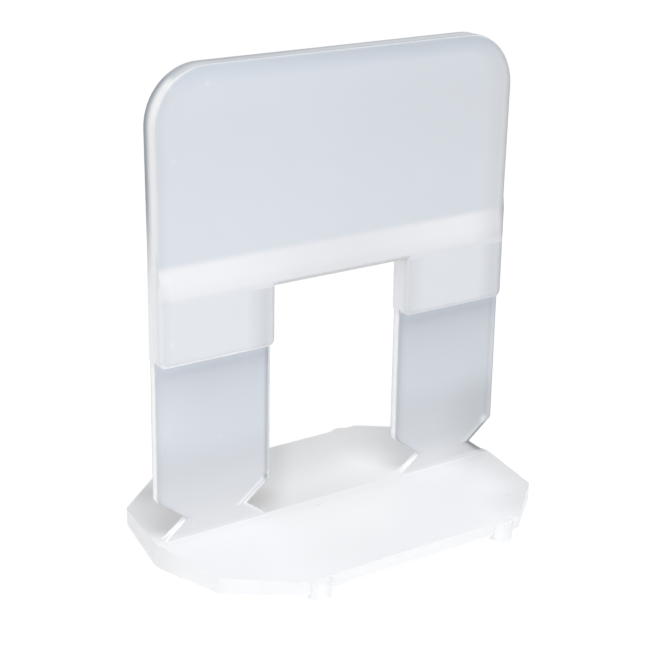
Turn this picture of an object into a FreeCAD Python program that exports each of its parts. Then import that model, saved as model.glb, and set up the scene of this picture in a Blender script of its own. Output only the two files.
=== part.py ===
import FreeCAD, Part

import math
import os

import Sketcher

# Tile leveling clip, injection moulded in one piece. Millimetres, +Z up, X along the width.
# The origin is the middle of the base's footprint, on the surface that the studs stand on.
# The base lies under two neighbouring tiles, the legs stand in the joint between them, and a
# wedge driven through the window pulls the tiles level. A kick then breaks the legs at their necks.

SIZES = [
    ("base_length", 40.4, "tip to tip along X"),
    ("base_depth", 27.1, "across the two long edges"),
    ("long_edge", 25.6, "length of each straight long edge"),
    ("shoulder_length", 37.0, "X distance between the end corners"),
    ("shoulder_depth", 17.3, "Y distance between the end corners"),
    ("base_thickness", 2.5, "at the land below the upright"),
    ("top_land", 2.6, "width of the level land that the legs stand on"),
    ("top_fall", 0.22, "fall of the top from the land to a long edge"),
    ("under_rise", 0.75, "rise of the underside towards a long edge"),
    ("under_land", 3.0, "width of the flat middle of the underside"),
    ("base_corner", 0.6, "rounding of the base's ten corners"),
    ("base_bevel", 0.25, "bevel round the lower edge of the base"),
    ("stud_diameter", 2.2, "stud feet"),
    ("stud_height", 2.05, "stud feet, from the surface"),
    ("stud_round", 0.5, "rounding of the feet"),
    ("stud_from_corner", 2.0, "feet from the ends of the long edges, along X"),
    ("stud_inset", 0.25, "feet inside the long edges, along Y"),
    ("upright_width", 40.0, "outer width of the upright, up to the ramp"),
    ("top_flare", 0.2, "each side of the panel's top beyond that width"),
    ("flare_start", 2.0, "the flare of the panel's sides above the ramp"),
    ("upright_height", 44.75, "from the land to the top edge"),
    ("top_radius", 5.4, "upper corners of the panel"),
    ("window_width", 15.3, "wedge window"),
    ("window_height", 23.5, "from the land to the crossbar"),
    ("leg_thickness", 0.85, "legs that stand in the joint"),
    ("leg_front", 0.175, "front of the legs ahead of the middle of the base"),
    ("panel_front", 0.745, "front of the panel ahead of the legs"),
    ("panel_rear", 0.37, "back of the panel behind the legs"),
    ("panel_round", 0.22, "rounding of the panel's edges"),
    ("pad_height", 17.6, "underside of the pads above the land"),
    ("pad_radius", 0.7, "lower corners of the pads"),
    ("pad_raise", 0.35, "pads and crossbar ahead of the panel"),
    ("pad_bevel", 0.34, "bevel round the pads"),
    ("ramp_start", 0.5, "foot of the ramp above the window"),
    ("ramp_height", 2.9, "ramp from the crossbar to the panel"),
    ("notch_depth", 2.875, "tips of the notches inside the legs' sides, on average"),
    ("neck_shift", 0.3, "necks off the middle of the legs, towards +X"),
    ("neck_height", 1.8, "tips of the notches above the land"),
    ("notch_angle", 37.0, "slope of the notches' flanks, degrees"),
    ("notch_radius", 0.12, "tips of the notches"),
    ("leg_flare", 0.25, "outer side of the +X leg beyond the panel"),
    ("leg_radius", 0.9, "lower corners of the legs above the notches"),
    ("crisp_radius", 0.2, "the same corner at the far +X side"),
    ("root_depth", 1.2, "depth that the legs are moulded into the base"),
    ("root_radius", 0.4, "fillet where the legs meet the base"),
    ("bead_width", 0.24, "mould parting bead on the land, between the legs"),
    ("bead_height", 0.06, "the same bead above the land"),
    ("trim", 4.0, "overrun of the cutting outlines"),
]

doc = FreeCAD.newDocument("leveling_clip")
sheet = doc.addObject("Spreadsheet::Sheet", "Sizes")
for row, (alias, value, note) in enumerate(SIZES, start=1):
    sheet.set(f"A{row}", alias)
    sheet.set(f"B{row}", str(value))
    sheet.set(f"C{row}", note)
    sheet.setAlias(f"B{row}", alias)
doc.recompute()

body = doc.addObject("PartDesign::Body", "leveling_clip")
body.Label = "leveling_clip"
doc.recompute()


def size(alias):
    """A driving dimension, for finding edges."""
    return float(getattr(sheet, alias))


def bound(expression):
    """The expression with each alias written as a cell of the sheet."""
    for alias, _, _ in sorted(SIZES, key=lambda entry: -len(entry[0])):
        expression = expression.replace(alias, f"Sizes.<{alias}>")
    return expression.replace("<", "").replace(">", "")


def sketch_on(role, name, offset=None):
    """A sketch on one of the body's own planes, moved along the plane's normal by an expression."""
    plane = next(item for item in body.Origin.OriginFeatures if item.Role == role)
    sketch = body.newObject("Sketcher::SketchObject", name)
    sketch.AttachmentSupport = [(plane, "")]
    sketch.MapMode = "FlatFace"
    if offset:
        sketch.setExpression(".AttachmentOffset.Base.z", bound(offset))
    doc.recompute()
    return sketch


def place(sketch, geometry, point, across, up):
    """Ties a point to the sketch's origin with two expressions. Zero puts it on the axis."""
    for kind, expression, axis in (("DistanceX", across, -2), ("DistanceY", up, -1)):
        if expression == "0":
            sketch.addConstraint(Sketcher.Constraint("PointOnObject", geometry, point, axis))
            continue
        value = float(sketch.evalExpression(bound(expression)))
        index = sketch.addConstraint(Sketcher.Constraint(kind, -1, 1, geometry, point, value))
        sketch.setExpression(f"Constraints[{index}]", bound(expression))


def outline(sketch, corners):
    """A closed outline of straight lines. Each corner is a pair of expressions."""
    points = []
    for across, up in corners:
        x = float(sketch.evalExpression(bound(across)))
        y = float(sketch.evalExpression(bound(up)))
        points.append(FreeCAD.Vector(x, y, 0))
    first = sketch.GeometryCount
    for start, end in zip(points, points[1:] + points[:1]):
        sketch.addGeometry(Part.LineSegment(start, end), False)
    count = len(points)
    for number in range(count):
        following = first + (number + 1) % count
        sketch.addConstraint(Sketcher.Constraint("Coincident", first + number, 2, following, 1))
    for number, (across, up) in enumerate(corners):
        place(sketch, first + number, 1, across, up)


def mirrored(corners):
    """The corners, followed by their mirror image across the vertical axis, in order."""
    return corners + [(f"-({across})", up) for across, up in reversed(corners)]


def pad(sketch, name, length, reverse=False):
    """Adds material from the sketch's plane."""
    feature = body.newObject("PartDesign::Pad", name)
    feature.Profile = sketch
    feature.Reversed = reverse
    feature.setExpression("Length", bound(length))
    doc.recompute()
    body.Tip = feature
    return feature


def trim_through(sketch, name):
    """Removes all that lies inside the outlines, to both sides of the sketch."""
    before = body.Shape.Volume
    feature = body.newObject("PartDesign::Pocket", name)
    feature.Profile = sketch
    feature.Type = "ThroughAll"
    feature.Midplane = True
    doc.recompute()
    body.Tip = feature
    if body.Shape.Volume >= before:
        raise RuntimeError(name + " removes nothing")
    return feature


def edges_where(shape, test):
    """Names of the edges whose ends and middle all pass the test."""
    names = []
    for number, edge in enumerate(shape.Edges, start=1):
        if edge.Degenerated:
            continue
        middle = edge.valueAt((edge.FirstParameter + edge.LastParameter) / 2)
        points = [vertex.Point for vertex in edge.Vertexes] + [middle]
        if all(test(point) for point in points):
            names.append(f"Edge{number}")
    return names


def dress(kind, name, edges, sheet_size):
    """A fillet or a chamfer of the body's last feature, on the named edges."""
    if not edges:
        raise RuntimeError(name + " finds no edges")
    base = body.Tip
    feature = body.newObject("PartDesign::" + kind, name)
    feature.Base = (base, edges)
    feature.setExpression("Radius" if kind == "Fillet" else "Size", bound(sheet_size))
    doc.recompute()
    body.Tip = feature
    return feature


def near(value, target):
    """True where two lengths agree."""
    return abs(value - target) < 0.01


# Levels and planes that several features share
PANEL_FRONT = "leg_front + panel_front"
PAD_FRONT = "leg_front + panel_front + pad_raise"
WINDOW_TOP = "base_thickness + window_height"
PAD_BOTTOM = "base_thickness + pad_height"
RAMP_FOOT = "base_thickness + window_height + ramp_start"
RAMP_TOP = "base_thickness + window_height + ramp_start + ramp_height"
TOP = "base_thickness + upright_height"
NECK_LEVEL = "base_thickness + neck_height"

land_z = size("base_thickness")
side = size("upright_width") / 2
jamb = size("window_width") / 2
leg_front_y = -size("leg_front")
leg_rear_y = leg_front_y + size("leg_thickness")
panel_front_y = leg_front_y - size("panel_front")
panel_rear_y = leg_rear_y + size("panel_rear")
pad_front_y = panel_front_y - size("pad_raise")
pad_bottom_z = land_z + size("pad_height")
ramp_foot_z = land_z + size("window_height") + size("ramp_start")
ramp_top_z = ramp_foot_z + size("ramp_height")
top_z = land_z + size("upright_height")


def base_walls():
    """The walls of the base in plan, as pairs of points."""
    quarter = [
        (size("long_edge") / 2, size("base_depth") / 2),
        (size("shoulder_length") / 2, size("shoulder_depth") / 2),
        (size("base_length") / 2, 0.0),
    ]
    ring = quarter + [(x, -y) for x, y in reversed(quarter[:2])]
    ring += [(-x, y) for x, y in reversed(ring)]
    return list(zip(ring, ring[1:] + ring[:1]))


def on_wall(point):
    """True for a point on a side wall of the base."""
    for start, end in base_walls():
        across = end[0] - start[0]
        back = end[1] - start[1]
        length = math.hypot(across, back)
        if length and near((point.x - start[0]) * back / length, (point.y - start[1]) * across / length):
            return True
    return False


def on_underside(point):
    """True for a point on the base's underside, flat in the middle and rising to the long edges."""
    land = size("under_land") / 2
    share = max(0.0, abs(point.y) - land) / (size("base_depth") / 2 - land)
    return near(point.z, size("under_rise") * share)


def build_base():
    """The ten-sided base with its roofed top, its keeled and bevelled underside, and its stud feet."""
    plan = sketch_on("XY_Plane", "BasePlan")
    outline(plan, [
        ("-long_edge / 2", "-base_depth / 2"),
        ("long_edge / 2", "-base_depth / 2"),
        ("shoulder_length / 2", "-shoulder_depth / 2"),
        ("base_length / 2", "0"),
        ("shoulder_length / 2", "shoulder_depth / 2"),
        ("long_edge / 2", "base_depth / 2"),
        ("-long_edge / 2", "base_depth / 2"),
        ("-shoulder_length / 2", "shoulder_depth / 2"),
        ("-base_length / 2", "0"),
        ("-shoulder_length / 2", "-shoulder_depth / 2"),
    ])
    pad(plan, "BasePlate", "base_thickness")

    def upright_at(x, y):
        return edges_where(body.Shape, lambda point: near(point.x, x) and near(point.y, y))

    corners = [name for start, _ in base_walls() for name in upright_at(*start)]
    dress("Fillet", "BaseCorners", corners, "base_corner")

    # The cutting outlines run past the base on the slopes that it has at its long edges
    section = sketch_on("YZ_Plane", "BaseSlopes")
    reach = "(base_depth / 2 + trim)"
    roof_end = f"base_thickness - top_fall * ({reach} - top_land / 2) / (base_depth / 2 - top_land / 2)"
    under_end = f"under_rise * ({reach} - under_land / 2) / (base_depth / 2 - under_land / 2)"
    outline(section, mirrored([
        ("top_land / 2", "base_thickness"),
        (reach, roof_end),
        (reach, "base_thickness + trim"),
    ]))
    outline(section, mirrored([
        ("under_land / 2", "0"),
        (reach, under_end),
        (reach, "-trim"),
    ]))
    trim_through(section, "BaseRoofAndKeel")
    lower = edges_where(body.Shape, lambda point: on_underside(point) and on_wall(point))
    dress("Chamfer", "BaseBevel", lower, "base_bevel")

    studs = sketch_on("XY_Plane", "StudPlan")
    for across in (-1, 1):
        for back in (-1, 1):
            x = across * (size("long_edge") / 2 - size("stud_from_corner"))
            y = back * (size("base_depth") / 2 - size("stud_inset"))
            centre = FreeCAD.Vector(x, y, 0)
            circle = Part.Circle(centre, FreeCAD.Vector(0, 0, 1), size("stud_diameter") / 2)
            index = studs.addGeometry(circle, False)
            place_x = f"{across} * (long_edge / 2 - stud_from_corner)"
            place_y = f"{back} * (base_depth / 2 - stud_inset)"
            place(studs, index, 3, place_x, place_y)
            ring = studs.addConstraint(Sketcher.Constraint("Diameter", index, size("stud_diameter")))
            studs.setExpression(f"Constraints[{ring}]", bound("stud_diameter"))
    pad(studs, "Studs", "stud_height")
    rims = edges_where(body.Shape, lambda point: near(point.z, 0) and abs(point.y) > size("under_land"))
    dress("Fillet", "StudRounding", rims, "stud_round")


def leg_corners(sign):
    """One leg with its two notches, from left to right, down to where it is moulded into the base."""
    middle = f"{sign} * (upright_width + window_width) / 4"
    half_leg = "(upright_width - window_width) / 4"
    flank = "tan(notch_angle * 1deg)"
    tip = f"({half_leg} - notch_depth)"
    foot = f"{tip} + neck_height / {flank}"
    flare = "leg_flare" if sign > 0 else "0 * leg_flare"
    left_shoulder = f"{NECK_LEVEL} + (notch_depth + neck_shift) * {flank}"
    right_shoulder = f"{NECK_LEVEL} + (notch_depth - neck_shift + {flare}) * {flank}"
    return [
        (f"{middle} - {half_leg}", left_shoulder),
        (f"{middle} + neck_shift - {tip}", NECK_LEVEL),
        (f"{middle} + neck_shift - ({foot})", "base_thickness"),
        (f"{middle} + neck_shift - ({foot})", "base_thickness - root_depth"),
        (f"{middle} + neck_shift + {foot}", "base_thickness - root_depth"),
        (f"{middle} + neck_shift + {foot}", "base_thickness"),
        (f"{middle} + neck_shift + {tip}", NECK_LEVEL),
        (f"{middle} + {half_leg} + {flare}", right_shoulder),
    ]


def build_upright():
    """The legs with their break-off notches, the thicker panel above, and the raised pads."""
    legs = sketch_on("XZ_Plane", "LegOutline", "leg_front")
    window = [("-window_width / 2", WINDOW_TOP), ("window_width / 2", WINDOW_TOP)]
    # The flared leg steps back to the panel's side behind the pad's rounded corner
    outline(legs, leg_corners(-1) + window + leg_corners(1) + [
        ("upright_width / 2 + leg_flare", PAD_BOTTOM),
        ("upright_width / 2", f"{PAD_BOTTOM} + pad_radius"),
        ("upright_width / 2", RAMP_TOP),
        ("-upright_width / 2", RAMP_TOP),
    ])
    pad(legs, "Legs", "leg_thickness", reverse=True)

    panel = sketch_on("XZ_Plane", "PanelOutline", PANEL_FRONT)
    outline(panel, mirrored([
        ("-window_width / 2", WINDOW_TOP),
        ("-window_width / 2", PAD_BOTTOM),
        ("-upright_width / 2", PAD_BOTTOM),
        ("-upright_width / 2", f"{RAMP_TOP} + flare_start"),
        ("-(upright_width / 2 + top_flare)", TOP),
    ]))
    pad(panel, "Panel", "panel_front + leg_thickness + panel_rear", reverse=True)

    pads = sketch_on("XZ_Plane", "PadOutline", PAD_FRONT)
    outline(pads, mirrored([
        ("-window_width / 2", WINDOW_TOP),
        ("-window_width / 2", PAD_BOTTOM),
        ("-upright_width / 2", PAD_BOTTOM),
        ("-upright_width / 2", RAMP_TOP),
    ]))
    pad(pads, "RaisedPads", "pad_raise + panel_front / 2", reverse=True)

    ramp = sketch_on("YZ_Plane", "RampSection")
    outline(ramp, [
        (f"-({PANEL_FRONT})", RAMP_TOP),
        (f"-({PAD_FRONT})", RAMP_FOOT),
        (f"-({PAD_FRONT} + trim)", RAMP_FOOT),
        (f"-({PAD_FRONT} + trim)", f"{RAMP_TOP} + trim"),
        (f"-({PANEL_FRONT})", f"{RAMP_TOP} + trim"),
    ])
    trim_through(ramp, "Ramp")


def round_upright():
    """Corners, bevels and fillets of the upright, from the largest to the finest."""
    def corner(x, z):
        return edges_where(body.Shape, lambda point: near(point.x, x) and near(point.z, z))

    slope = math.tan(math.radians(size("notch_angle")))
    neck_z = land_z + size("neck_height")
    neck = (side - jamb) / 2 - size("notch_depth")
    shoulders = []
    tips = []
    for middle, flare in ((-(side + jamb) / 2, 0), ((side + jamb) / 2, size("leg_flare"))):
        for way, outward in ((-1, 0), (1, flare)):
            tip_x = middle + size("neck_shift") + way * neck
            side_x = middle + way * (side - jamb) / 2 + outward
            tips += corner(tip_x, neck_z)
            shoulders.append((side_x, neck_z + abs(side_x - tip_x) * slope))
    dress("Fillet", "NotchTips", tips, "notch_radius")
    rounded = [name for x, z in shoulders[:3] for name in corner(x, z)]
    dress("Fillet", "LegCorners", rounded, "leg_radius")
    dress("Fillet", "CrispCorner", corner(*shoulders[3]), "crisp_radius")
    top_side = side + size("top_flare")
    dress("Fillet", "PanelCorners", corner(-top_side, top_z) + corner(top_side, top_z), "top_radius")
    pad_corners = [name for x in (-side, -jamb, jamb, side) for name in corner(x, pad_bottom_z)]
    dress("Fillet", "PadCorners", pad_corners, "pad_radius")

    def on_level(y, low, high):
        return edges_where(body.Shape, lambda point: near(point.y, y) and low <= point.z <= high)

    fine = 0.01
    rim = on_level(pad_front_y, 0, ramp_foot_z + fine)
    ramp_line = on_level(pad_front_y, ramp_foot_z - fine, ramp_foot_z + fine)
    dress("Chamfer", "PadBevel", [name for name in rim if name not in ramp_line], "pad_bevel")

    dress("Fillet", "RearRounding", on_level(panel_rear_y, 0, top_z + fine), "panel_round")

    rim = on_level(panel_front_y, ramp_top_z - fine, top_z + fine)
    ramp_line = on_level(panel_front_y, ramp_top_z - fine, ramp_top_z + fine)
    dress("Fillet", "FrontRounding", [name for name in rim if name not in ramp_line], "panel_round")

    roots = [name for y in (leg_front_y, leg_rear_y) for name in on_level(y, land_z - fine, land_z + fine)]
    dress("Fillet", "LegRoots", roots, "root_radius")


def build_bead():
    """The low bead that the mould's parting plane leaves on the land, from leg to leg."""
    section = sketch_on("YZ_Plane", "BeadSection")
    outline(section, [
        ("-bead_width / 2", "base_thickness - bead_height"),
        ("bead_width / 2", "base_thickness - bead_height"),
        ("bead_width / 2", "base_thickness"),
        ("0", "base_thickness + bead_height"),
        ("-bead_width / 2", "base_thickness"),
    ])
    bead = pad(section, "PartingBead", "(upright_width + window_width) / 2")
    bead.Midplane = True
    doc.recompute()


build_base()
build_upright()
round_upright()
build_bead()
doc.recompute()

for item in doc.Objects:
    if "Invalid" in item.State or "Error" in item.State:
        raise RuntimeError(f"{item.Name} failed: {item.State}")
shape = body.Shape
if shape.isNull() or not shape.isValid() or len(shape.Solids) != 1:
    raise RuntimeError("the clip is not one valid solid")

os.makedirs("parts", exist_ok=True)
shape.exportStep(f"parts/{body.Label}.step")
box = shape.optimalBoundingBox()
print(f"{box.XLength:.2f} x {box.YLength:.2f} x {box.ZLength:.2f} mm")
print(f"{shape.Volume:.1f} mm3, {len(shape.Faces)} faces")
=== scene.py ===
import math

import bpy
from mathutils import Matrix, Vector


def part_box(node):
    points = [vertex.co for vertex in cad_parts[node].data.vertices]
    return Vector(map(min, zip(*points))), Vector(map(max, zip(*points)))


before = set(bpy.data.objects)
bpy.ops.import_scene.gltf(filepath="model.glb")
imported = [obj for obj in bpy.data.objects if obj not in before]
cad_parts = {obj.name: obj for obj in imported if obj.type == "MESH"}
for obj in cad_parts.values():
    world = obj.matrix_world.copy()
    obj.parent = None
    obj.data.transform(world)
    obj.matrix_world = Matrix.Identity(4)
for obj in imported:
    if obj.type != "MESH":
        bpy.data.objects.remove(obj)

bl_info = {
    "name": "Tile leveling clip",
    "version": (1, 0, 0),
    "blender": (4, 5, 0),
    "location": "View3D > Sidebar > Leveling Clip",
    "description": "Finishes the moulded clip in milky plastic and sets up its photograph",
    "category": "Object",
}

# The clip stands on the XY plane, its front faces -Y, and all lengths are in metres.
CLIP = "leveling_clip"
CLIP_LOW, CLIP_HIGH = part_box(CLIP)
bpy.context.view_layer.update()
MM = 0.001
WHITE = (1.0, 1.0, 1.0, 1.0)

# Levels of the clip, from the flat land of its base to its top edge
LAND = 2.5 * MM
NECK = 4.3 * MM
DIP = 9.3 * MM
PAD_FOOT = 20.1 * MM
WINDOW_TOP = 26.0 * MM
RAMP_FOOT = 26.5 * MM
RAMP_TOP = 29.4 * MM
TOP = CLIP_HIGH.z

# The upright's outline, which widens a little towards its top and at the right leg
SIDE = 20.0 * MM
TOP_RADIUS = 5.4 * MM
FLARE_FOOT = 31.4 * MM
TOP_FLARE = 0.2 * MM
LEG_FLARE = 0.25 * MM
JAMB = 7.65 * MM
LEG_MIDDLE = (SIDE + JAMB) / 2
LEG_HALF = (SIDE - JAMB) / 2

# The notches' slope, and how far their tips lie from the left and the right side of a leg
NOTCH_SLOPE = math.radians(37.0)
LEFT_TIP = 3.175 * MM
RIGHT_TIP = 2.575 * MM

# The panel's front and rear, the line where the mould's halves met, and the wall's thickness in
# millimetres
PANEL_FRONT = -0.92 * MM
PANEL_REAR = 1.045 * MM
PARTING = 0.22 * MM
WALL = (PANEL_REAR - PANEL_FRONT) / MM

# Painted shades and highlights that multiply a colour along the distance from an edge: darker and lighter
# lines where the edge face shows through the plastic. All are in millimetres: how far they reach, and pairs
# of a distance and a shade. The panel comes first, then the pads and the legs.
TOP_LEFT = 2.2, [(0.0, 0.84), (0.3, 0.9), (0.9, 0.95), (1.9, 1.01)]
TOP_RIGHT = 2.2, [(0.0, 0.85), (0.3, 0.83), (0.9, 0.89), (1.9, 1.0)]
PANEL_LEFT = 1.5, [(0.0, 0.97), (0.35, 0.945), (1.2, 1.0)]
PANEL_RIGHT = 3.0, [(0.0, 0.68), (0.25, 0.76), (0.55, 0.91), (0.8, 0.955), (1.1, 0.935), (2.9, 0.99)]
PAD_LEFT = 1.5, [(0.0, 0.98), (0.4, 0.965), (1.2, 1.0)]
LEFT_PAD_RIGHT = 3.5, [(0.0, 0.78), (0.25, 0.8), (0.55, 0.9), (0.8, 0.88), (1.1, 0.85), (1.35, 0.86),
                       (2.0, 0.91), (3.3, 1.0)]
RIGHT_PAD_RIGHT = 3.5, [(0.0, 0.7), (0.35, 0.71), (0.6, 0.76), (0.8, 0.86), (1.1, 0.87), (1.5, 0.865),
                        (2.2, 0.92), (3.3, 1.0)]
LEFT_LEG_LEFT = 1.3, [(0.0, 0.95), (0.25, 0.92), (0.6, 0.98), (1.2, 1.0)]
LEFT_LEG_RIGHT = 1.2, [(0.0, 1.34), (0.13, 1.26), (0.23, 0.75), (0.42, 0.79), (0.64, 0.97), (0.9, 1.0)]
RIGHT_LEG_LEFT = 1.3, [(0.0, 0.9), (0.25, 0.82), (0.6, 0.94), (1.2, 1.0)]
RIGHT_LEG_RIGHT = 1.2, [(0.0, 1.0), (0.3, 1.04), (0.7, 0.93), (1.1, 1.0)]

# The same beside the flanks of the notches, above and below their tips
LEFT_NOTCH_UPPER = 0.9, [(0.0, 0.93), (0.15, 0.95), (0.5, 1.0)]
INNER_NOTCH_UPPER = 0.9, [(0.0, 1.4), (0.22, 1.36), (0.32, 0.95), (0.4, 0.97), (0.52, 1.24), (0.68, 1.12),
                          (0.89, 1.0)]
INNER_NOTCH_LOWER = 0.9, [(0.0, 1.22), (0.14, 1.18), (0.3, 1.0)]
OUTER_NOTCH_UPPER = 0.9, [(0.0, 0.5), (0.16, 0.58), (0.27, 0.96), (0.4, 1.14), (0.65, 1.08), (0.89, 1.0)]
OUTER_NOTCH_LOWER = 0.9, [(0.0, 0.4), (0.25, 0.5), (0.45, 0.86), (0.85, 1.0)]

# The same across the narrow edge faces, from their front edge to their rear one
SIDE_WALL = WALL, [(0.0, 0.86), (0.2, 0.93), (0.45, 0.95), (0.7, 0.91), (0.9, 0.82), (1.1, 0.69),
                   (1.3, 0.52), (1.5, 0.38), (1.96, 0.3)]
PAD_WALL = WALL, [(0.0, 0.86), (0.4, 0.93), (1.2, 0.97), (1.7, 0.96), (1.96, 0.87)]
TOP_WALL_LEFT = WALL, [(0.0, 0.56), (0.4, 0.56), (0.6, 0.53), (1.0, 0.44), (1.4, 0.35), (1.96, 0.31)]
TOP_WALL_RIGHT = WALL, [(0.0, 0.5), (0.3, 0.54), (0.9, 0.57), (1.4, 0.45), (1.96, 0.36)]

# Soft round spots on the upright, in x and z: a centre, a radius, both in millimetres, and a strength
PALE_SPOTS = [(-14.7, 45.6, 0.5, 0.05), (-18.2, 39.0, 0.5, 0.05), (-18.5, 45.5, 0.5, 0.05),
             (-18.8, 22.4, 0.5, 0.05), (-13.3, 11.9, 0.28, 0.05), (-12.2, 9.95, 0.28, 0.05),
             (-16.2, 3.5, 0.28, 0.05)]
# Painted glints, and painted shade on the right leg's foot and beside the left leg's inner notch
RAMP_GLINT = [(-19.3, 28.5, 0.9, 0.04)]
LEG_GLINT = [(19.35, 6.35, 0.8, 0.32)]
LEG_PAINTED_SHADE = [(19.0, 7.0, 7.0, 0.14), (-8.1, 6.6, 0.4, 0.35)]

# Soft round spots on the base, in x and y: painted shade, shadow and light, and the warm tint of painted
# shadows
DIMPLE_SHADE = [(-16.8, 7.8, 0.45, 0.07), (14.9, -9.6, 0.45, 0.07), (-2.65, -1.3, 0.45, 0.07)]
RIGHT_END_PAINTED_SHADE = [(14.5, -11.5, 5.0, 0.12)]
NEAR_PAINTED_SHADE = [(-5.0, -11.0, 10.0, 0.045)]
FAR_PAINTED_SHADOW = [(-7.2, 4.6, 4.0, 0.17), (-14.8, 10.5, 3.5, 0.14)]
FAR_PAINTED_LIGHT = [(9.5, 5.5, 5.0, 0.1), (12.0, 11.5, 6.5, 0.09), (10.5, 3.0, 3.5, 0.1)]
INNER_SHADOW_TINT = [(-7.2, 4.6, 4.0, 1.0)]
OUTER_SHADOW_TINT = [(-15.5, 5.5, 5.0, 0.6)]

# Direction over the base, in x and y, of the painted shadow line that runs back from the left leg's inner
# side
LEG_SHADOW_LINE = (0.58, 0.814)

# How much brightness a part loses to painted shade from left to right, and a side face where it turns
# upward
LEG_FALL = 0.07
UPPER_FALL = 0.045
CORNER_FALL = 0.1

# Painted shades, by how light falls on each face: of the base's top, of its sides and of its parting bead
# with the loss where the bead leans, and of the upright's narrow faces from the pads' undersides down
BASE_TOP = 0.975
BASE_SIDES = 1.05
BEAD = 0.9
BEAD_FALL = 0.4
LEG_WALL = 1.07

# The notches' lower flanks: their painted shade on the right leg, and their share of the rims' painted glow
RIGHT_FLANKS = 0.9
FLANK_GLOW = 0.4

# The plastic's refraction, its fine grain, and the base's share of the softness of edges
REFRACTION = 1.49
GRAIN_DETAIL = 3.0
GRAIN_STRENGTH = 0.12
GRAIN_HEIGHT = 0.02 * MM
BASE_SOFTNESS = 0.3

# The floor's reach from the middle, its white, and the shade and the glow that the camera sees of it
FLOOR_REACH = 1.5
FLOOR_WHITE = (0.9, 0.9, 0.9, 1.0)
FLOOR_SHADOW = (0.17, 0.17, 0.17, 1.0)
FLOOR_GLOW = 0.88

# Each lamp's width, its distance from the clip, its azimuth and its elevation
KEY_LAMP = (0.3, 0.6, math.radians(-20), math.radians(62))
SIDE_LAMP = (0.4, 0.6, math.radians(-80), math.radians(20))


class LevelingClipFinish(bpy.types.PropertyGroup):
    """Colours and surface sizes of the milky plastic."""

    panel: bpy.props.FloatVectorProperty(
        name="Panel", description="Colour of the upper panel", subtype="COLOR", size=4,
        min=0.0, max=1.0, default=(0.737, 0.776, 0.826, 1.0))
    panel_top: bpy.props.FloatVectorProperty(
        name="Panel top", description="Bluer colour of the panel along its top edge", subtype="COLOR",
        size=4, min=0.0, max=1.0, default=(0.72, 0.776, 0.85, 1.0))
    panel_edge: bpy.props.FloatVectorProperty(
        name="Panel edge", description="Greyer colour of the panel along its right edge", subtype="COLOR",
        size=4, min=0.0, max=1.0, default=(0.747, 0.765, 0.792, 1.0))
    pads: bpy.props.FloatVectorProperty(
        name="Pads", description="Colour of the thicker pads", subtype="COLOR", size=4,
        min=0.0, max=1.0, default=(0.81, 0.833, 0.875, 1.0))
    # The ramp's colour is lighter than the panel's, partly as a painted sheen
    ramp: bpy.props.FloatVectorProperty(
        name="Ramp", description="Colour of the ramp over the window", subtype="COLOR", size=4,
        min=0.0, max=1.0, default=(0.91, 0.92, 0.955, 1.0))
    bar_shadow: bpy.props.FloatVectorProperty(
        name="Bar shadow", description="Warm colour of the crossbar's lower edge", subtype="COLOR", size=4,
        min=0.0, max=1.0, default=(0.73, 0.705, 0.7, 1.0))
    leg_top: bpy.props.FloatVectorProperty(
        name="Leg top", description="Colour of the thin legs below the pads", subtype="COLOR", size=4,
        min=0.0, max=1.0, default=(0.655, 0.695, 0.755, 1.0))
    leg_middle: bpy.props.FloatVectorProperty(
        name="Leg middle", description="Colour of the thin legs at half height", subtype="COLOR", size=4,
        min=0.0, max=1.0, default=(0.71, 0.75, 0.8, 1.0))
    leg_low: bpy.props.FloatVectorProperty(
        name="Leg low", description="Colour of the thin legs above the notches", subtype="COLOR", size=4,
        min=0.0, max=1.0, default=(0.742, 0.761, 0.796, 1.0))
    leg_foot: bpy.props.FloatVectorProperty(
        name="Leg foot", description="Colour of the thin legs near the base", subtype="COLOR", size=4,
        min=0.0, max=1.0, default=(0.82, 0.82, 0.84, 1.0))
    base: bpy.props.FloatVectorProperty(
        name="Base", description="Colour of the solid base", subtype="COLOR", size=4,
        min=0.0, max=1.0, default=(0.92, 0.93, 0.95, 1.0))
    base_shadow: bpy.props.FloatVectorProperty(
        name="Base shadow", description="Warmer colour of the base just behind the legs", subtype="COLOR",
        size=4, min=0.0, max=1.0, default=(0.92, 0.905, 0.9, 1.0))
    walls: bpy.props.FloatVectorProperty(
        name="Walls", description="Colour of the narrow edge faces of the upright", subtype="COLOR", size=4,
        min=0.0, max=1.0, default=(0.92, 0.93, 0.955, 1.0))
    # The dark part of the edge faces is painted shade, and this is its bluer colour
    deep_walls: bpy.props.FloatVectorProperty(
        name="Deep walls", description="Bluer colour where those edge faces turn dark", subtype="COLOR",
        size=4, min=0.0, max=1.0, default=(0.8, 0.89, 1.0, 1.0))
    roughness: bpy.props.FloatProperty(
        name="Roughness", description="Roughness of the moulded skin", min=0.0, max=1.0, default=0.34)
    scatter: bpy.props.FloatProperty(
        name="Scatter", description="Share of light that scatters inside the plastic",
        min=0.0, max=1.0, default=0.2)
    scatter_depth: bpy.props.FloatProperty(
        name="Scatter depth", description="How far light spreads inside the plastic",
        unit="LENGTH", default=0.0004)
    edge_softness: bpy.props.FloatProperty(
        name="Edge softness", description="Radius over which hard edges look rounded", unit="LENGTH",
        default=0.0004)
    # A painted glow: emission that brightens the lower rims, the base's front and the notches' lower flanks
    rim_glow: bpy.props.FloatProperty(
        name="Rim glow", description="Light that the plastic guides out of its lower rims", default=0.2)
    grain: bpy.props.FloatProperty(
        name="Grain", description="Width of the fine grain of the mould", unit="LENGTH", default=0.0005)


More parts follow.
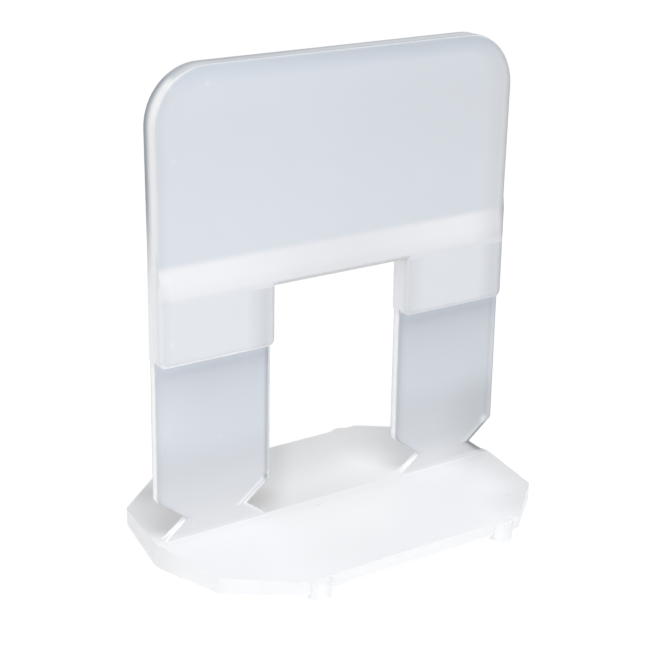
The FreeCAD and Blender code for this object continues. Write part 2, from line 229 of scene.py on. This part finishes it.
class LevelingClipStage(bpy.types.PropertyGroup):
    """Camera, lamps and floor."""

    aim: bpy.props.FloatVectorProperty(
        name="Aim", description="Point that the camera looks at", subtype="XYZ", unit="LENGTH", size=3,
        default=(0.002886, 0.005724, 0.018157))
    distance: bpy.props.FloatProperty(
        name="Distance", description="From the aim to the camera", unit="LENGTH", default=0.1711)
    azimuth: bpy.props.FloatProperty(
        name="Azimuth", description="Turn of the camera round the clip", subtype="ANGLE",
        default=math.radians(-35.496))
    elevation: bpy.props.FloatProperty(
        name="Elevation", description="Camera above the horizon", subtype="ANGLE",
        default=math.radians(19.269))
    roll: bpy.props.FloatProperty(
        name="Roll", description="Turn of the camera about its own axis", subtype="ANGLE",
        default=math.radians(0.94))
    lens: bpy.props.FloatProperty(
        name="Lens", description="Focal length in millimetres on a 36 mm sensor", default=94.53)
    sky: bpy.props.FloatProperty(
        name="Sky", description="Strength of the soft light from all round", default=0.6)
    key_lamp: bpy.props.FloatProperty(
        name="Key lamp", description="Power of the soft lamp high in front", unit="POWER", default=1.6)
    side_lamp: bpy.props.FloatProperty(
        name="Side lamp", description="Power of the soft lamp on the left", unit="POWER", default=0.4)


class NodeSheet:
    """A node tree with short calls for the nodes that a material needs."""

    def __init__(self, tree):
        self.tree = tree
        tree.nodes.clear()

    def add(self, kind, settings=None, **inputs):
        """A node of one kind. Settings are its own values, and inputs are numbers, colours or sockets."""
        node = self.tree.nodes.new(kind)
        for name, value in (settings or {}).items():
            setattr(node, name, value)
        for name, value in inputs.items():
            self.feed(node.inputs[name.replace("_", " ")], value)
        return node

    def feed(self, socket, value):
        """Links a socket, or sets it to a plain value."""
        if isinstance(value, bpy.types.NodeSocket):
            self.tree.links.new(value, socket)
        else:
            socket.default_value = value

    def math(self, operation, *values, clamp=False):
        """One Math node's result."""
        node = self.add("ShaderNodeMath", {"operation": operation, "use_clamp": clamp})
        for socket, value in zip(node.inputs, values):
            self.feed(socket, value)
        return node.outputs[0]

    def plus(self, first, *others):
        """The sum of some numbers."""
        for other in others:
            first = self.math("ADD", first, other)
        return first

    def times(self, first, *others):
        """The product of some numbers."""
        for other in others:
            first = self.math("MULTIPLY", first, other)
        return first

    def minus(self, first, second):
        """One number less another."""
        return self.math("SUBTRACT", first, second)

    def line(self, value, slope, start):
        """A number times a slope, added to a start."""
        return self.math("MULTIPLY_ADD", value, slope, start)

    def larger(self, first, second):
        """The larger of two numbers."""
        return self.math("MAXIMUM", first, second)

    def unsigned(self, value):
        """A number without its sign."""
        return self.math("ABSOLUTE", value)

    def above(self, value, level):
        """One where a number is above a level, or else zero."""
        return self.math("GREATER_THAN", value, level)

    def below(self, value, level):
        """One where a number is below a level, or else zero."""
        return self.math("LESS_THAN", value, level)

    def length(self, across, along):
        """Length of an arrow in a plane."""
        return self.math("SQRT", self.plus(self.times(across, across), self.times(along, along)))

    def rise(self, value, start, end, low=0.0, high=1.0):
        """Low where the value is before start, high after end, and smooth between them."""
        node = self.add("ShaderNodeMapRange", {"interpolation_type": "SMOOTHSTEP"}, Value=value,
                        From_Min=start, From_Max=end, To_Min=low, To_Max=high)
        return node.outputs["Result"]

    def step(self, z, level):
        """Zero below a level of the clip and one above it."""
        return self.rise(z, level - 0.02 * MM, level + 0.02 * MM)

    def curve(self, value, shades):
        """A shade along a distance. The strip holds no value above one, so it holds half of each shade."""
        reach, stops = shades
        strip = self.add("ShaderNodeValToRGB", Fac=self.math("DIVIDE", value, reach * MM, clamp=True))
        elements = strip.color_ramp.elements
        while len(elements) < len(stops):
            elements.new(0.5)
        for element, (distance, shade) in zip(elements, stops):
            element.position = distance / reach
            element.color = (shade / 2, shade / 2, shade / 2, 1.0)
        return self.times(strip.outputs["Color"], 2.0)

    def spots(self, first, second, rows):
        """Sum of some soft round spots in two of the coordinates, full at their centres."""
        total = 0.0
        for centre_first, centre_second, radius, strength in rows:
            away = self.length(self.minus(first, centre_first * MM), self.minus(second, centre_second * MM))
            total = self.plus(total, self.rise(away, 0.0, radius * MM, strength, 0.0))
        return total

    def mix(self, share, first, second):
        """Two colours mixed by a share."""
        node = self.add("ShaderNodeMix", {"data_type": "RGBA"})
        self.feed(node.inputs[0], share)
        self.feed(node.inputs[6], first)
        self.feed(node.inputs[7], second)
        return node.outputs[2]

    def blend(self, share, first, second):
        """Two numbers mixed by a share."""
        node = self.add("ShaderNodeMix")
        self.feed(node.inputs[0], share)
        self.feed(node.inputs[2], first)
        self.feed(node.inputs[3], second)
        return node.outputs[0]

    def scale(self, colour, shade):
        """A colour times a number."""
        node = self.add("ShaderNodeVectorMath", {"operation": "SCALE"}, Scale=shade)
        self.feed(node.inputs[0], colour if isinstance(colour, bpy.types.NodeSocket) else colour[:3])
        return node.outputs[0]

    def seen_directly(self):
        """One for the camera's rays and for mirrored and clear views, or else zero."""
        path = self.add("ShaderNodeLightPath").outputs
        return self.larger(self.larger(path["Is Camera Ray"], path["Is Glossy Ray"]),
                           path["Is Transmission Ray"])


def panel_depth(nodes, x, z):
    """How far a point lies inside the panel's outline, with its two large upper corners."""
    flare = nodes.times(nodes.minus(z, FLARE_FOOT), TOP_FLARE / (TOP - FLARE_FOOT))
    side = nodes.plus(nodes.larger(flare, 0.0), SIDE - TOP_RADIUS)
    across = nodes.minus(nodes.unsigned(x), side)
    up = nodes.minus(z, TOP - TOP_RADIUS)
    outside = nodes.length(nodes.larger(across, 0.0), nodes.larger(up, 0.0))
    inside = nodes.math("MINIMUM", nodes.larger(across, up), 0.0)
    return nodes.minus(nodes.minus(TOP_RADIUS, outside), inside)


def leg_place(nodes, x, z):
    """Distances from a leg's left and right sides, for whichever leg the point is on, and which leg."""
    right_leg = nodes.above(x, 0.0)
    along = nodes.minus(x, nodes.line(right_leg, 2 * LEG_MIDDLE, -LEG_MIDDLE))
    flare = nodes.times(right_leg, nodes.below(z, PAD_FOOT), LEG_FLARE)
    from_left = nodes.plus(along, LEG_HALF)
    from_right = nodes.plus(nodes.minus(LEG_HALF, along), flare)
    return from_left, from_right, right_leg


def spots_and_dimple_shade(nodes, x, y, z, facing_up):
    """Shade of faint round spots: pale ones on the upright's front, and painted shade of small dimples on
    the base.
    """
    light = nodes.times(nodes.spots(x, z, PALE_SPOTS), nodes.below(y, 0.0))
    dark = nodes.times(nodes.spots(x, y, DIMPLE_SHADE), nodes.below(z, LAND + 0.1 * MM), facing_up)
    return nodes.minus(nodes.plus(1.0, light), dark)


def leg_shade(nodes, x, z):
    """Shades along the legs: painted light on the left part, just under the pads and in a glint, painted
    shade on the dark right foot, and a dip above the foot.
    """
    leftmost = nodes.rise(x, -20 * MM, -14 * MM, 0.05, 0.0)
    above_foot = nodes.rise(z, 11 * MM, 14 * MM)
    under_pads = nodes.rise(z, PAD_FOOT - 1.6 * MM, PAD_FOOT, 0.0, 0.1)
    light = nodes.plus(1.0, nodes.times(leftmost, above_foot), under_pads, nodes.spots(x, z, LEG_GLINT))
    dip = nodes.rise(nodes.unsigned(nodes.minus(z, DIP)), 0.0, 3.2 * MM, 0.045, 0.0)
    return nodes.minus(light, nodes.plus(dip, nodes.spots(x, z, LEG_PAINTED_SHADE)))


def paint_legs(nodes, finish, x, z, rightward):
    """Colour of the legs, darker and bluer towards the pads and lighter towards the base."""
    leg = nodes.mix(nodes.rise(z, 12 * MM, PAD_FOOT), finish.leg_middle, finish.leg_top)
    low = nodes.rise(z, 7 * MM, 12 * MM, 1.0, 0.0)
    low_share = nodes.times(low, nodes.rise(x, 0.0, 12 * MM, 1.0, 0.4))
    leg = nodes.mix(low_share, leg, finish.leg_low)
    foot = nodes.rise(z, LAND + 0.5 * MM, 6.5 * MM, 1.0, 0.0)
    leg = nodes.mix(foot, leg, finish.leg_foot)
    foot_right = nodes.rise(x, 12 * MM, 19 * MM)
    fall = nodes.line(nodes.blend(foot, rightward, foot_right), -LEG_FALL, 1.0)
    return nodes.scale(nodes.scale(leg, fall), leg_shade(nodes, x, z))


def ramp_shade(nodes, x, z):
    """Painted shade of the ramp, dimmer in its middle, along its foot and towards its right end, with a
    painted glint at its left end.
    """
    middle_dim = nodes.rise(nodes.unsigned(x), 1 * MM, 14 * MM, 0.085, 0.015)
    foot_dim = nodes.rise(z, 26.6 * MM, 28 * MM, 0.035, 0.0)
    right_dim = nodes.rise(x, 15 * MM, 19.3 * MM, 0.0, 0.1)
    edge_dim = nodes.rise(x, 19.1 * MM, 19.9 * MM, 0.0, 0.12)
    dim = nodes.minus(nodes.plus(middle_dim, foot_dim, right_dim, edge_dim), nodes.spots(x, z, RAMP_GLINT))
    return nodes.minus(1.0, dim)


def paint_upper(nodes, finish, x, z, rightward, facing_front):
    """Colour of the panel, the ramp, the pads and the crossbar, with painted shade along the crossbar's
    lower edge and from left to right.
    """
    panel = nodes.mix(nodes.rise(z, TOP - 2.4 * MM, TOP - 0.8 * MM), finish.panel, finish.panel_top)
    panel = nodes.mix(nodes.rise(x, 17.5 * MM, 19.2 * MM), panel, finish.panel_edge)
    panel = nodes.scale(panel, nodes.rise(z, 30 * MM, 42 * MM, 1.015, 0.98))
    upper = nodes.mix(nodes.rise(z, RAMP_FOOT, RAMP_TOP), finish.pads, panel)

    over_foot = nodes.rise(z, RAMP_FOOT - 0.3 * MM, RAMP_FOOT + 0.3 * MM)
    under_top = nodes.rise(z, RAMP_TOP - 0.4 * MM, RAMP_TOP + 0.5 * MM, 1.0, 0.0)
    ramp = nodes.scale(finish.ramp, ramp_shade(nodes, x, z))
    upper = nodes.mix(nodes.times(over_foot, under_top, facing_front), upper, ramp)

    low_edge = nodes.rise(z, WINDOW_TOP + 0.05 * MM, WINDOW_TOP + 0.55 * MM, 0.8, 0.0)
    over_window = nodes.rise(nodes.unsigned(x), JAMB - 0.3 * MM, JAMB, 1.0, 0.0)
    upper = nodes.mix(nodes.times(low_edge, over_window), upper, finish.bar_shadow)
    return nodes.scale(upper, nodes.line(rightward, -UPPER_FALL, 1.0))


def paint_broad_faces(nodes, finish, x, z, facing_front):
    """Colour of the upright's front and back by height, where the wall's thickness changes."""
    rightward = nodes.rise(x, -SIDE, SIDE)
    legs = paint_legs(nodes, finish, x, z, rightward)
    upper = paint_upper(nodes, finish, x, z, rightward, facing_front)
    return nodes.mix(nodes.step(z, PAD_FOOT), legs, upper)


def flank_lines(nodes, inward, tip, z, upper, lower=None):
    """Painted shade and highlight beside the two flanks of a notch. Inward is the distance from that side
    of the leg.
    """
    over_tip = nodes.minus(z, NECK)
    along = nodes.times(nodes.minus(inward, tip), math.sin(NOTCH_SLOPE))
    up = nodes.times(over_tip, math.cos(NOTCH_SLOPE))
    upper_shade = nodes.curve(nodes.plus(along, up), upper)
    lower_shade = nodes.curve(nodes.minus(along, up), lower) if lower else 1.0
    return nodes.blend(nodes.above(over_tip, 0.0), lower_shade, upper_shade)


def notch_lines(nodes, from_left, from_right, right_leg, z):
    """Painted light and dark lines along the flanks of the notches, where the hidden flank shows through.
    """
    from_right = nodes.line(right_leg, -LEG_FLARE, from_right)
    inner = flank_lines(nodes, from_right, RIGHT_TIP, z, INNER_NOTCH_UPPER, INNER_NOTCH_LOWER)
    outer = flank_lines(nodes, from_right, RIGHT_TIP, z, OUTER_NOTCH_UPPER, OUTER_NOTCH_LOWER)
    outer = nodes.blend(nodes.rise(z, 5.7 * MM, 6.3 * MM), outer, 1.0)
    left_sides = flank_lines(nodes, from_left, LEFT_TIP, z, LEFT_NOTCH_UPPER)
    return nodes.times(left_sides, nodes.blend(right_leg, inner, outer))


def left_to_right(nodes, x):
    """How far the shades along the top edge have changed from its left part's to its right part's."""
    return nodes.rise(x, -14 * MM, 6 * MM)


def panel_lines(nodes, x, z):
    """Painted shade and highlight just inside the panel's edges. The lines of its top edge end in the two
    upper corners.
    """
    depth = panel_depth(nodes, x, z)
    top_lines = nodes.blend(left_to_right(nodes, x), nodes.curve(depth, TOP_LEFT),
                            nodes.curve(depth, TOP_RIGHT))
    side_lines = nodes.blend(nodes.rise(x, -2 * MM, 2 * MM), nodes.curve(depth, PANEL_LEFT),
                             nodes.curve(depth, PANEL_RIGHT))
    near_top = nodes.rise(z, TOP - TOP_RADIUS, TOP - 0.3 * TOP_RADIUS)
    off_sides = nodes.rise(nodes.unsigned(x), SIDE - 4 * MM, SIDE - 1.5 * MM, 1.0, 0.0)
    return nodes.blend(nodes.times(near_top, off_sides), side_lines, top_lines)


def edge_lines(nodes, x, z):
    """Painted shade and highlight just inside each edge, where the edge face shows through as darker and
    lighter lines.
    """
    from_left, from_right, right_leg = leg_place(nodes, x, z)
    pad_right = nodes.blend(right_leg, nodes.curve(from_right, LEFT_PAD_RIGHT),
                            nodes.curve(from_right, RIGHT_PAD_RIGHT))
    window_side = nodes.times(nodes.rise(from_left, 0.5 * MM, 2.6 * MM, 0.06, 0.0), right_leg)
    pads = nodes.minus(nodes.times(nodes.curve(from_left, PAD_LEFT), pad_right), window_side)

    leg_left = nodes.blend(right_leg, nodes.curve(from_left, LEFT_LEG_LEFT),
                           nodes.curve(from_left, RIGHT_LEG_LEFT))
    leg_right = nodes.blend(right_leg, nodes.curve(from_right, LEFT_LEG_RIGHT),
                            nodes.curve(from_right, RIGHT_LEG_RIGHT))
    legs = nodes.times(leg_left, leg_right, notch_lines(nodes, from_left, from_right, right_leg, z))

    upper = nodes.blend(nodes.step(z, WINDOW_TOP), pads, panel_lines(nodes, x, z))
    return nodes.blend(nodes.step(z, PAD_FOOT), legs, upper)


def paint_walls(nodes, finish, x, y, z, facing_up):
    """Colour of the upright's narrow edge faces. Their far edge has painted dark shade, as clear plastic
    looks, and the top face is painted darker.
    """
    depth = nodes.minus(y, PANEL_FRONT)
    top = nodes.blend(left_to_right(nodes, x), nodes.curve(depth, TOP_WALL_LEFT),
                      nodes.curve(depth, TOP_WALL_RIGHT))
    top = nodes.plus(top, nodes.rise(x, -17 * MM, -13 * MM, 0.08, 0.0))
    side = nodes.times(nodes.curve(depth, SIDE_WALL), nodes.line(facing_up, -CORNER_FALL, 1.0))
    side = nodes.blend(nodes.rise(facing_up, 0.85, 1.0), side, top)
    over_window = nodes.rise(z, WINDOW_TOP - 1 * MM, RAMP_TOP + 8 * MM)
    side = nodes.blend(over_window, nodes.curve(depth, PAD_WALL), side)
    over_pad_foot = nodes.rise(z, PAD_FOOT - 0.3 * MM, PAD_FOOT + 0.1 * MM)
    shade = nodes.blend(over_pad_foot, LEG_WALL, side)
    deep = nodes.rise(shade, 0.3, 0.8, 1.0, 0.0)
    return nodes.scale(nodes.mix(deep, finish.walls, finish.deep_walls), shade)


def base_top_painted_shade(nodes, x, y, behind):
    """How much painted shade dims the base's top: at its right end, behind the parting line with painted
    shadows and patches of painted light, and in front of it.
    """
    end = nodes.plus(nodes.rise(x, 13 * MM, 20 * MM, 0.0, 0.2), nodes.spots(x, y, RIGHT_END_PAINTED_SHADE))
    between_legs = nodes.rise(nodes.unsigned(x), 7 * MM, 11 * MM, 1.0, 0.0)

    # A painted shadow along a line that runs back from the left leg's inner side
    from_line = nodes.minus(nodes.times(nodes.plus(x, JAMB), LEG_SHADOW_LINE[1]), nodes.times(y, LEG_SHADOW_LINE[0]))
    line = nodes.rise(nodes.unsigned(from_line), 0.0, 2.5 * MM, 0.1, 0.0)
    far_right = nodes.rise(x, 15 * MM, 19 * MM, 0.0, 0.12)
    far_left = nodes.rise(x, -2 * MM, 10 * MM, 0.08, 0.0)
    far_middle = nodes.times(nodes.rise(y, 0.2 * MM, 5 * MM, 0.06, 0.0), between_legs)
    far = nodes.plus(far_right, far_left, far_middle, line, nodes.spots(x, y, FAR_PAINTED_SHADOW))
    far = nodes.times(behind, nodes.minus(far, nodes.spots(x, y, FAR_PAINTED_LIGHT)))

    near_legs = nodes.rise(y, -2 * MM, -0.6 * MM, 0.0, 0.03)
    near_middle = nodes.times(nodes.rise(y, -6 * MM, -1 * MM, 0.0, 0.03), between_legs)
    near = nodes.plus(near_legs, near_middle, nodes.spots(x, y, NEAR_PAINTED_SHADE))
    return nodes.plus(end, far, nodes.times(nodes.minus(1.0, behind), near))


def paint_base(nodes, finish, x, y, z, facing_up):
    """Colour of the base, with painted shadow behind the parting line and painted shade towards its ends.
    """
    behind = nodes.rise(y, -0.1 * MM, 0.2 * MM)
    over_land = nodes.rise(z, LAND - 0.2 * MM, LAND)
    bead = nodes.times(over_land, nodes.rise(nodes.unsigned(y), 1 * MM, 1.5 * MM, 1.0, 0.0))
    side = nodes.minus(BASE_SIDES, nodes.rise(y, -5.5 * MM, 0.5 * MM, 0.0, 0.11))
    left_front = nodes.times(nodes.rise(x, -14 * MM, -11 * MM, 0.03, 0.0),
                             nodes.rise(x, -18.7 * MM, -18.3 * MM))
    side = nodes.blend(bead, nodes.minus(side, left_front), BEAD)
    top = nodes.minus(BASE_TOP, base_top_painted_shade(nodes, x, y, behind))
    bead_slope = nodes.times(facing_up, nodes.minus(1.0, facing_up), bead, BEAD_FALL)
    shade = nodes.minus(nodes.blend(facing_up, side, top), bead_slope)
    # The warm tint of the painted shadow just behind the legs
    warm_shadow = nodes.times(behind, nodes.larger(nodes.spots(x, y, INNER_SHADOW_TINT), nodes.spots(x, y, OUTER_SHADOW_TINT)))
    return nodes.scale(nodes.mix(warm_shadow, finish.base, finish.base_shadow), shade)


def notch_flanks(nodes, z, turn):
    """One on the lower flanks of the notches, which face up and aside, and zero elsewhere."""
    aside = nodes.rise(nodes.unsigned(turn[0]), 0.4, 0.55)
    up = nodes.rise(turn[2], 0.6, 0.75)
    return nodes.times(aside, up, nodes.below(z, NECK), nodes.above(z, LAND + 0.05 * MM))


def parting_shade(nodes, x, y, flanks):
    """Shade of the notches' lower flanks: a fine line on the left leg where the mould parted, and painted
    shade on the right leg's.
    """
    from_parting = nodes.unsigned(nodes.minus(y, PARTING))
    line = nodes.rise(from_parting, 0.07 * MM, 0.18 * MM, 0.82, 1.0)
    return nodes.blend(flanks, 1.0, nodes.blend(nodes.above(x, 0.0), line, RIGHT_FLANKS))


def rims(nodes, x, z, turn, flanks):
    """Where the plastic gets a painted glow for light it guides out: its lower rims, the base's front and
    the notches' lower flanks.
    """
    beside_pad_foot = nodes.rise(nodes.unsigned(nodes.minus(z, PAD_FOOT)), 0.6 * MM, 0.7 * MM, 1.0, 0.0)
    facing_down = nodes.rise(turn[2], -0.6, -0.15, 1.0, 0.0)
    pad_rim = nodes.times(facing_down, beside_pad_foot, nodes.rise(x, -10 * MM, 10 * MM, 0.8, 0.35))
    below_land = nodes.below(z, LAND - 0.05 * MM)
    base_rim = nodes.times(below_land, nodes.rise(turn[2], -0.5, -0.05, 1.0, 0.0))
    base_front = nodes.times(below_land, nodes.rise(turn[1], -0.95, -0.6, 0.2, 0.0),
                             nodes.rise(x, 2 * MM, 12 * MM, 1.0, 0.0))
    return nodes.plus(nodes.larger(base_rim, base_front), pad_rim, nodes.times(flanks, FLANK_GLOW))


def milky_plastic(finish):
    """Translucent injection-moulded plastic. Thin walls look darker, and thick ones milky. Its colour holds
    painted shade and light.
    """
    material = bpy.data.materials.new("milky_plastic")
    material.use_nodes = True
    nodes = NodeSheet(material.node_tree)
    coordinates = nodes.add("ShaderNodeTexCoord")
    place = coordinates.outputs["Object"]
    x, y, z = nodes.add("ShaderNodeSeparateXYZ", Vector=place).outputs
    turn = nodes.add("ShaderNodeSeparateXYZ", Vector=coordinates.outputs["Normal"]).outputs
    facing_front = nodes.rise(turn[1], -0.6, -0.4, 1.0, 0.0)
    facing_up = nodes.rise(turn[2], 0.3, 0.9)

    # Below the ramp's top a face may lean further and still be broad, as the pads' bevelled rims do.
    leaning = nodes.rise(z, RAMP_FOOT, RAMP_TOP, 1.0, 0.0)
    broad = nodes.rise(nodes.line(leaning, 0.25, nodes.unsigned(turn[1])), 0.75, 0.95)
    on_base = nodes.rise(z, LAND - 0.05 * MM, LAND + 0.75 * MM, 1.0, 0.0)
    flanks = notch_flanks(nodes, z, turn)

    faces = nodes.scale(paint_broad_faces(nodes, finish, x, z, facing_front), edge_lines(nodes, x, z))
    colour = nodes.mix(broad, paint_walls(nodes, finish, x, y, z, facing_up), faces)
    colour = nodes.mix(on_base, colour, paint_base(nodes, finish, x, y, z, facing_up))
    marks = nodes.times(parting_shade(nodes, x, y, flanks), spots_and_dimple_shade(nodes, x, y, z, facing_up))
    colour = nodes.scale(colour, marks)

    grain = nodes.add("ShaderNodeTexNoise", Vector=place, Scale=1.0 / finish.grain, Detail=GRAIN_DETAIL)
    softness = nodes.rise(z, LAND, LAND + 0.5 * MM, BASE_SOFTNESS * finish.edge_softness,
                          finish.edge_softness)
    soft_edges = nodes.add("ShaderNodeBevel", {"samples": 4}, Radius=softness)
    bump = nodes.add("ShaderNodeBump", Height=grain.outputs["Fac"], Strength=GRAIN_STRENGTH,
                     Distance=GRAIN_HEIGHT, Normal=soft_edges.outputs["Normal"])
    skin = nodes.add(
        "ShaderNodeBsdfPrincipled", Base_Color=colour, Roughness=finish.roughness, IOR=REFRACTION,
        Normal=bump.outputs["Normal"], Subsurface_Weight=finish.scatter, Subsurface_Radius=WHITE[:3],
        Subsurface_Scale=finish.scatter_depth, Emission_Color=WHITE,
        Emission_Strength=nodes.times(rims(nodes, x, z, turn, flanks), finish.rim_glow))
    nodes.add("ShaderNodeOutputMaterial", Surface=skin.outputs["BSDF"])
    return material


def build_sky(strength):
    """Soft even light. Camera, mirror and clear views see plain white."""
    world = bpy.data.worlds.new("studio")
    world.use_nodes = True
    bpy.context.scene.world = world
    nodes = NodeSheet(world.node_tree)
    level = nodes.rise(nodes.seen_directly(), 0.0, 1.0, strength, 1.0)
    sky = nodes.add("ShaderNodeBackground", Color=WHITE, Strength=level)
    nodes.add("ShaderNodeOutputWorld", Surface=sky.outputs["Background"])


def pale_floor():
    """White floor. The camera sees it nearly bright, with a faint shadow below the clip."""
    material = bpy.data.materials.new("pale_floor")
    material.use_nodes = True
    nodes = NodeSheet(material.node_tree)
    matt = nodes.add("ShaderNodeBsdfDiffuse", Color=FLOOR_WHITE)
    shadow = nodes.add("ShaderNodeBsdfDiffuse", Color=FLOOR_SHADOW)
    glow = nodes.add("ShaderNodeEmission", Color=WHITE, Strength=FLOOR_GLOW)
    bright = nodes.add("ShaderNodeAddShader")
    nodes.feed(bright.inputs[0], shadow.outputs[0])
    nodes.feed(bright.inputs[1], glow.outputs[0])
    floor = nodes.add("ShaderNodeMixShader")
    nodes.feed(floor.inputs[0], nodes.seen_directly())
    nodes.feed(floor.inputs[1], matt.outputs[0])
    nodes.feed(floor.inputs[2], bright.outputs[0])
    nodes.add("ShaderNodeOutputMaterial", Surface=floor.outputs[0])
    return material


def build_floor():
    """A large plain floor that the clip stands on."""
    mesh = bpy.data.meshes.new("floor")
    corners = [(-FLOOR_REACH, -FLOOR_REACH, 0.0), (FLOOR_REACH, -FLOOR_REACH, 0.0),
               (FLOOR_REACH, FLOOR_REACH, 0.0), (-FLOOR_REACH, FLOOR_REACH, 0.0)]
    mesh.from_pydata(corners, [], [(0, 1, 2, 3)])
    floor = bpy.data.objects.new("floor", mesh)
    bpy.context.scene.collection.objects.link(floor)
    mesh.materials.append(pale_floor())


def facing(azimuth, elevation, roll=0.0):
    """Axes of something that looks at the clip from an azimuth and an elevation: right, up and back."""
    back = Vector((math.sin(azimuth) * math.cos(elevation), -math.cos(azimuth) * math.cos(elevation),
                   math.sin(elevation)))
    right = Vector((math.cos(azimuth), math.sin(azimuth), 0.0))
    up = back.cross(right)
    turned_right = right * math.cos(roll) + up * math.sin(roll)
    return Matrix((turned_right, back.cross(turned_right), back)).transposed()


def look_from(thing, aim, distance, azimuth, elevation, roll=0.0):
    """Puts a camera or a lamp at a distance from its aim and turns it there."""
    axes = facing(azimuth, elevation, roll)
    place = Vector(aim) + axes.col[2] * distance
    thing.matrix_world = Matrix.Translation(place) @ axes.to_4x4()


def add_lamp(name, power, width, distance, azimuth, elevation):
    """A square soft lamp that lights the middle of the clip."""
    data = bpy.data.lights.new(name, "AREA")
    data.energy = power
    data.size = width
    lamp = bpy.data.objects.new(name, data)
    bpy.context.scene.collection.objects.link(lamp)
    look_from(lamp, (CLIP_LOW + CLIP_HIGH) / 2, distance, azimuth, elevation)


def build_camera(stage):
    """The photograph's camera."""
    data = bpy.data.cameras.new("camera")
    data.sensor_width = 36.0
    data.lens = stage.lens
    data.clip_start = 0.001
    camera = bpy.data.objects.new("camera", data)
    bpy.context.scene.collection.objects.link(camera)
    look_from(camera, stage.aim, stage.distance, stage.azimuth, stage.elevation, stage.roll)
    bpy.context.scene.camera = camera


class LevelingClipBuildBody(bpy.types.Operator):
    """Gives the moulded clip its softened edges and its milky plastic"""

    bl_idname = "leveling_clip.build_body"
    bl_label = "Clip"

    def execute(self, context):
        finish = context.scene.leveling_clip_finish
        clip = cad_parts[CLIP]
        clip.data.materials.clear()
        clip.data.materials.append(milky_plastic(finish))
        return {"FINISHED"}


class LevelingClipBuildStage(bpy.types.Operator):
    """Makes the floor, the soft lamps and the camera"""

    bl_idname = "leveling_clip.build_stage"
    bl_label = "Stage"

    def execute(self, context):
        stage = context.scene.leveling_clip_stage
        context.scene.view_settings.view_transform = "Standard"
        build_sky(stage.sky)
        build_floor()
        add_lamp("key_lamp", stage.key_lamp, *KEY_LAMP)
        add_lamp("side_lamp", stage.side_lamp, *SIDE_LAMP)
        build_camera(stage)
        return {"FINISHED"}


class LevelingClipPanel(bpy.types.Panel):
    """The clip's settings and its build buttons"""

    bl_idname = "VIEW3D_PT_leveling_clip"
    bl_label = "Leveling Clip"
    bl_space_type = "VIEW_3D"
    bl_region_type = "UI"
    bl_category = "Leveling Clip"

    def draw(self, context):
        for operator, settings in ((LevelingClipBuildBody, context.scene.leveling_clip_finish),
                                   (LevelingClipBuildStage, context.scene.leveling_clip_stage)):
            box = self.layout.box()
            for name in settings.__annotations__:
                box.prop(settings, name)
            box.operator(operator.bl_idname)


CLASSES = (LevelingClipFinish, LevelingClipStage, LevelingClipBuildBody, LevelingClipBuildStage,
           LevelingClipPanel)


def register():
    """Adds the classes and their settings to Blender."""
    for item in CLASSES:
        bpy.utils.register_class(item)
    bpy.types.Scene.leveling_clip_finish = bpy.props.PointerProperty(type=LevelingClipFinish)
    bpy.types.Scene.leveling_clip_stage = bpy.props.PointerProperty(type=LevelingClipStage)


def unregister():
    """Takes them out again."""
    del bpy.types.Scene.leveling_clip_stage
    del bpy.types.Scene.leveling_clip_finish
    for item in reversed(CLASSES):
        bpy.utils.unregister_class(item)


def main():
    """Builds the clip and its stage."""
    register()
    bpy.ops.leveling_clip.build_body()
    bpy.ops.leveling_clip.build_stage()


if __name__ == "__main__":
    main()
